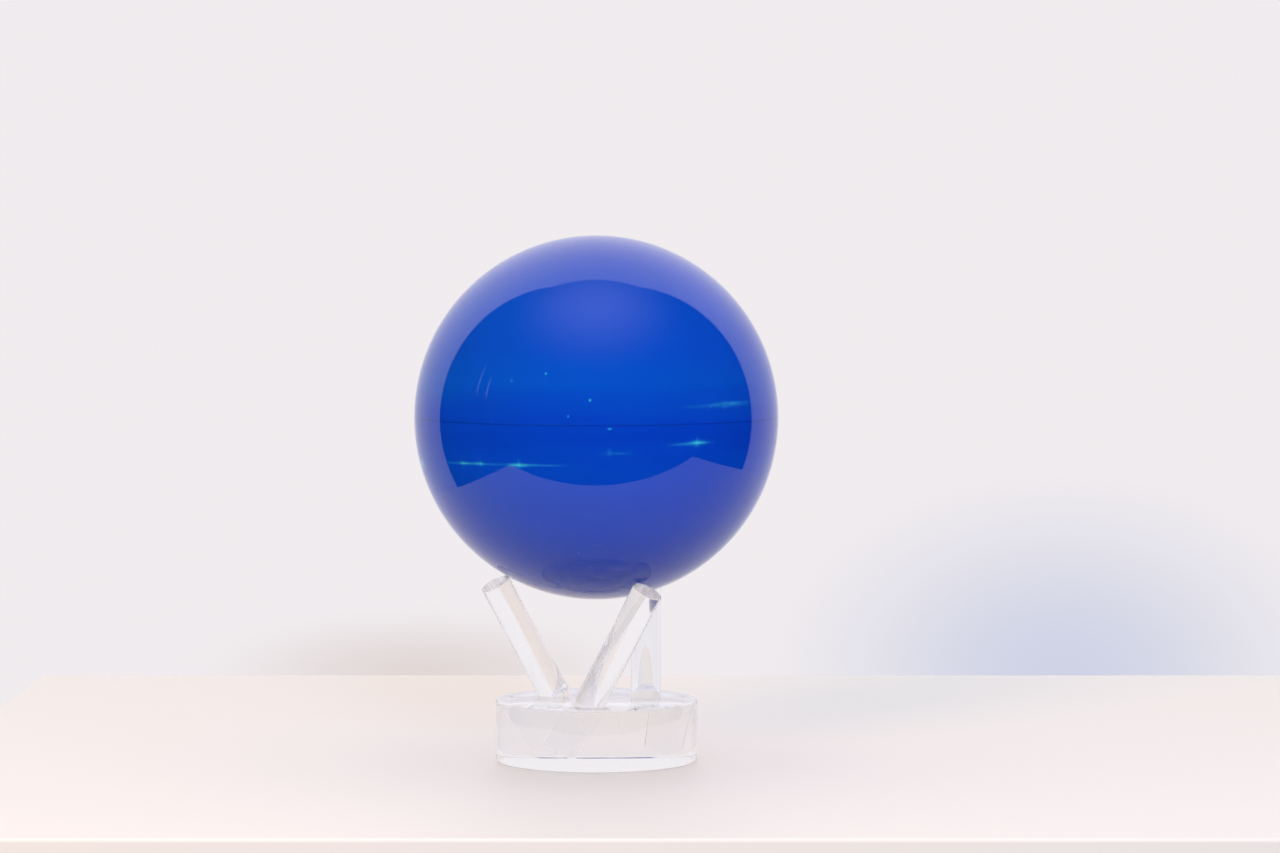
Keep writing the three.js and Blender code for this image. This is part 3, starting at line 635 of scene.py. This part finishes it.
ALUMINIUM = worked("brushed_aluminium", (0.60, 0.61, 0.63), 1.0, stretch=(5000, 250, 250),
                   tone=(0.7, 1.0), rough=(0.25, 0.42), bump=0.12, Metallic=1.0)
BRASS = worked("turned_brass", (0.62, 0.42, 0.13), 1.0, stretch=(200, 200, 6000), tone=(0.75, 1.0),
               rough=(0.18, 0.34), bump=0.15, Metallic=1.0)
STEEL = worked("bright_steel", (0.46, 0.47, 0.49), 1.0, stretch=(300, 300, 4000), tone=(0.75, 1.0),
               rough=(0.2, 0.36), bump=0.1, Metallic=1.0)

finish(ALUMINIUM, "lower_frame_plate", "gear_plate", "upper_frame_plate")
for number in (1, 2, 3):
    finish(BRASS, f"lower_standoff_{number}", f"upper_standoff_{number}")
    finish(STEEL, f"top_screw_{number}")


# ---- Motor ----
# A drawn steel can closed by a moulded end cap, with a sintered ring magnet inside and two sprung copper
# brushes. On its shaft are the wound armature, the commutator, and a pressed-on brass pinion.

FERRITE = worked("sintered_ferrite", (0.035, 0.035, 0.038), 2500, tone=(0.5, 1.0), rough=(0.6, 0.8),
                 bump=0.3)
COPPER = worked("wound_copper", (0.62, 0.24, 0.10), 1.0, stretch=(300, 300, 9000), tone=(0.3, 1.0),
                rough=(0.22, 0.4), bump=0.4, Metallic=1.0)

finish(STEEL, "motor_can", "motor_shaft")
finish(CREAM, "motor_end_cap")
finish(FERRITE, "motor_ring_magnet")
finish(COPPER, "motor_brush_1", "motor_brush_2", "motor_armature", "motor_commutator")
finish(BRASS, "motor_pinion")


# ---- Reduction gear ----
# Moulded nylon wheels and a turned brass pinion. The idler runs on a steel pin, and the output gear is
# pressed on the magnet's shaft.

NYLON = worked("moulded_nylon", (0.76, 0.74, 0.69), 1500, rough=(0.34, 0.5), bump=0.05)

finish(STEEL, "idler_pin")
finish(NYLON, "idler_wheel", "output_gear")
finish(BRASS, "idler_pinion")


# ---- Compass ----
# A nickel plated bar magnet on a brass hub. Its steel shaft stands in a jewel cup and turns in a bush.

NICKEL = worked("nickel_plate", (0.62, 0.60, 0.57), 700, tone=(0.85, 1.0), rough=(0.08, 0.2), bump=0.03,
                Metallic=1.0)
RUBY = worked("polished_ruby", (0.55, 0.02, 0.05), 500, tone=(0.8, 1.0), rough=(0.03, 0.1), bump=0.02,
              Coat_Weight=0.5)

finish(STEEL, "magnet_shaft")
finish(BRASS, "magnet_hub", "shaft_bush")
finish(NICKEL, "bar_magnet")
finish(RUBY, "jewel_cup")


# ---- Solar panels and leads ----
# Four cells laminated under clear resin, glued to a moulded square holder. Two soft sleeved wires run
# from them to the motor.

CELL_PITCH, CELL_LINE = 1.6 * MM, 0.12


def solar_cell():
    """Dark crystals under clear resin, crossed by thin printed silver lines at an even pitch up the
    cell: where the height over the pitch has a small remainder, there is a line."""
    made, tree, shader = material("solar_cell", Coat_Weight=0.8, Coat_Roughness=0.06)
    place = put(tree, "TexCoord").outputs["Object"]
    crystal = put(tree, "TexVoronoi", {"Vector": place, "Scale": 260.0}).outputs["Color"]
    shade = put(tree, "SeparateXYZ", {0: crystal}).outputs[0]
    blue = put(tree, "Mix", {"Factor": shade, 6: (0.004, 0.008, 0.035, 1), 7: (0.012, 0.03, 0.11, 1)},
               data_type="RGBA").outputs[2]
    height = put(tree, "SeparateXYZ", {0: place}).outputs[2]
    steps = put(tree, "Math", {0: height, 1: CELL_PITCH}, operation="DIVIDE").outputs[0]
    part = put(tree, "Math", {0: steps}, operation="FRACT").outputs[0]
    line = put(tree, "Math", {0: part, 1: CELL_LINE}, operation="LESS_THAN").outputs[0]
    printed = put(tree, "Mix", {"Factor": line, 6: blue, 7: (0.45, 0.46, 0.48, 1)}, data_type="RGBA")
    rough = put(tree, "MapRange", {0: shade, 3: 0.25, 4: 0.4}).outputs[0]
    tree.links.new(printed.outputs[2], shader.inputs["Base Color"])
    tree.links.new(rough, shader.inputs["Roughness"])
    return made


finish(solar_cell(), *(f"solar_panel_{side}" for side in ("right", "rear", "left", "front")))
finish(CREAM, "panel_holder")
finish(worked("red_sleeve", (0.42, 0.02, 0.015), 1200, rough=(0.45, 0.6)), "lead_wire_red")
finish(worked("black_sleeve", (0.012, 0.012, 0.013), 1200, rough=(0.45, 0.6)), "lead_wire_black")


# ---- Stage ----
# A pale shelf under the object, a pale surround that is dimmer on the viewer's side and has two
# painted shadows of the ball on the wall behind it, and soft lamps.

SHELF_X, SHELF_Y = (-0.21, 0.29), (-0.162, 0.236)
SHELF_TOP, SHELF_THICK = -0.0002, 0.02


def shelf():
    """A board with rounded edges, finished in off-white paint with a faint orange-peel."""
    x0, x1, y0, y1 = *SHELF_X, *SHELF_Y
    corners = [(x, y, z) for z in (SHELF_TOP - SHELF_THICK, SHELF_TOP) for y in (y0, y1)
               for x in (x0, x1)]
    faces = [(0, 2, 3, 1), (4, 5, 7, 6), (0, 1, 5, 4), (2, 6, 7, 3), (0, 4, 6, 2), (1, 3, 7, 5)]
    mesh = bpy.data.meshes.new("shelf")
    mesh.from_pydata(corners, [], faces)
    board = bpy.data.objects.new("shelf", mesh)
    bpy.context.scene.collection.objects.link(board)
    edge = board.modifiers.new("edge", "BEVEL")
    edge.width, edge.segments = 0.001, 3
    made, tree, shader = material("shelf_paint", Base_Color=(0.875, 0.835, 0.78, 1), Roughness=0.5)
    place = put(tree, "TexCoord").outputs["Object"]
    peel = put(tree, "TexNoise", {"Vector": place, "Scale": 250.0, "Detail": 2.0}).outputs["Fac"]
    relief = put(tree, "Bump", {"Strength": 0.05, "Distance": 0.0002, "Height": peel})
    tree.links.new(relief.outputs[0], shader.inputs["Normal"])
    mesh.materials.append(made)
    return board


WALL_SLOPES = (2.1, 6.4)
# Each window edge is (its bearing, and its lowest and highest points), as parts of a unit direction.
JAMBS = ((0.134, 0.17, 0.45), (0.285, 0.14, 0.38))
# Each painted shadow of the ball on the wall is (how far right it stands, how far up, its half width
# and its half height).
COOL_PAINTED_SHADOW, WARM_PAINTED_SHADOW = (0.106, -0.112, 0.085, 0.058), (-0.055, -0.112, 0.065, 0.018)
# The ceiling glows most along GLOW_AIM and ends where the cosine of the angle from there is GLOW_EDGE.
# A higher GLOW_FALL keeps the glow closer to its middle.
GLOW_AIM, GLOW_EDGE, GLOW_FALL = (0, -0.25, 0.968), 0.62, 3.0


def surround():
    """The world. Looked at directly it is a pale wall with two soft coloured patches low down, which
    are painted shadows of the ball: a bluish one to its right and a brownish one to its left. Clear
    plastic bends the same wall into view. A mirroring surface sees that wall only behind the object,
    out to WALL_SLOPES of width and height for each unit of depth, and otherwise a dim room with a pale
    ceiling and the edges of one tall window."""
    world = bpy.data.worlds.new("surround")
    bpy.context.scene.world = world
    world.use_nodes = True
    tree = world.node_tree
    back = tree.nodes["Background"]
    way = put(tree, "TexCoord").outputs["Generated"]
    axis = put(tree, "SeparateXYZ", {0: way}).outputs
    math_node = sums(tree)

    def colour_mix(factor, a, b):
        return put(tree, "Mix", {"Factor": factor, 6: a, 7: b}, data_type="RGBA").outputs[2]

    def ramp(value, low, high, smooth="SMOOTHSTEP"):
        return put(tree, "MapRange", {0: value, 1: low, 2: high}, interpolation_type=smooth).outputs[0]

    def shade(x, z, width, height):
        """A painted shadow of the ball: a soft round patch on the wall, one at its middle and fading
        to nothing at the edge.
        """
        east = math_node("DIVIDE", math_node("SUBTRACT", math_node("DIVIDE", axis[0], axis[1]), x), width)
        up = math_node("DIVIDE", math_node("SUBTRACT", axis[2], z), height)
        apart = math_node("ADD", math_node("POWER", east, 2.0), math_node("POWER", up, 2.0))
        return ramp(math_node("SQRT", apart), 1.0, 0.0)

    # The two coloured patches are painted shadows of the ball, seen only on the wall behind it.
    rear = math_node("GREATER_THAN", axis[1], 0.0)
    cool_shadow_mask = math_node("MULTIPLY", shade(*COOL_PAINTED_SHADOW), rear)
    warm_shadow_mask = math_node("MULTIPLY", shade(*WARM_PAINTED_SHADOW), rear)
    plain = (0.875, 0.838, 0.860, 1)
    seen = colour_mix(warm_shadow_mask, colour_mix(cool_shadow_mask, plain, (0.625, 0.65, 0.79, 1)), (0.755, 0.685, 0.675, 1))

    sideways = math_node("DIVIDE", math_node("ABSOLUTE", axis[0]), WALL_SLOPES[0])
    upwards = math_node("DIVIDE", axis[2], WALL_SLOPES[1])
    inside = math_node("SUBTRACT", axis[1], math_node("MAXIMUM", sideways, upwards))
    wall = ramp(inside, -0.01, 0.015)
    lit_wall = colour_mix(ramp(axis[2], -0.1, 0.85), (0.82, 0.80, 0.88, 1), (1.50, 1.43, 1.55, 1))
    overhead = put(tree, "VectorMath", {0: way, 1: GLOW_AIM}, operation="DOT_PRODUCT")
    glow = ramp(overhead.outputs["Value"], GLOW_EDGE, 1.0, "LINEAR")
    ceiling = math_node("POWER", glow, GLOW_FALL)
    slant = math_node("DIVIDE", axis[1], axis[0])
    jambs = None
    for bearing, low, high in JAMBS:
        line = ramp(math_node("ABSOLUTE", math_node("SUBTRACT", slant, bearing)), 0.012, 0.002)
        ends = math_node("MULTIPLY", ramp(axis[2], low, low + 0.08), ramp(axis[2], high, high - 0.08))
        jamb = math_node("MULTIPLY", line, ends)
        jambs = jamb if jambs is None else math_node("ADD", jambs, jamb)
    left = math_node("MULTIPLY", jambs, math_node("LESS_THAN", axis[0], 0.0))
    room = colour_mix(ceiling, (0.008, 0.035, 0.06, 1), (1.0, 0.85, 1.0, 1))
    mirrored = colour_mix(wall, colour_mix(left, room, (1.5, 1.6, 1.8, 1)), lit_wall)

    bent = colour_mix(wall, (0.84, 0.82, 0.84, 1), (0.90, 0.87, 0.90, 1))
    soft = colour_mix(ramp(axis[2], -0.1, 0.1), (0.35, 0.35, 0.36, 1), (0.82, 0.81, 0.83, 1))
    path = put(tree, "LightPath").outputs
    seen = colour_mix(path["Is Diffuse Ray"], seen, soft)
    seen = colour_mix(path["Is Glossy Ray"], seen, mirrored)
    seen = colour_mix(path["Is Transmission Ray"], seen, bent)
    tree.links.new(seen, back.inputs["Color"])


def lamp(name, place, size, power, colour):
    """A square soft lamp aimed at the ball, left out of reflections and refractions."""
    data = bpy.data.lights.new(name, "AREA")
    data.size, data.energy, data.color = size, power, colour
    made = bpy.data.objects.new(name, data)
    made.location = place
    made.rotation_euler = (Vector(BALL_CENTRE) - Vector(place)).to_track_quat("-Z", "Y").to_euler()
    made.visible_glossy = made.visible_transmission = made.visible_camera = False
    bpy.context.scene.collection.objects.link(made)


shelf()
surround()
LAMP_SIZE = 0.5
lamp("warm_lamp", (-0.70, -1.17, 0.74), LAMP_SIZE, 10.0, (1.0, 0.6, 0.3))
lamp("cool_window", (0.34, -1.30, 0.78), LAMP_SIZE, 8.0, (0.35, 0.6, 1.0))

# The camera stands a little above the ball's middle and looks down by CAMERA_DOWN degrees.
CAMERA_PLACE, CAMERA_DOWN = (0.0137, -1.255, 0.1693), 2.93
camera_data = bpy.data.cameras.new("camera")
camera_data.lens = 112.5
camera_data.sensor_width = 36.0
camera_data.clip_start = 0.05
camera_data.clip_end = 20.0
camera = bpy.data.objects.new("camera", camera_data)
camera.location = CAMERA_PLACE
camera.rotation_euler = (math.radians(90 - CAMERA_DOWN), 0, 0)
bpy.context.scene.collection.objects.link(camera)
bpy.context.scene.camera = camera
bpy.context.scene.view_settings.view_transform = "Standard"
# Light turns many times inside the clear rods and disc before it leaves them.
MOST_TURNS = 96
cycles = bpy.context.scene.cycles
cycles.max_bounces = MOST_TURNS
cycles.glossy_bounces = MOST_TURNS
cycles.transmission_bounces = MOST_TURNS
cycles.transparent_max_bounces = MOST_TURNS
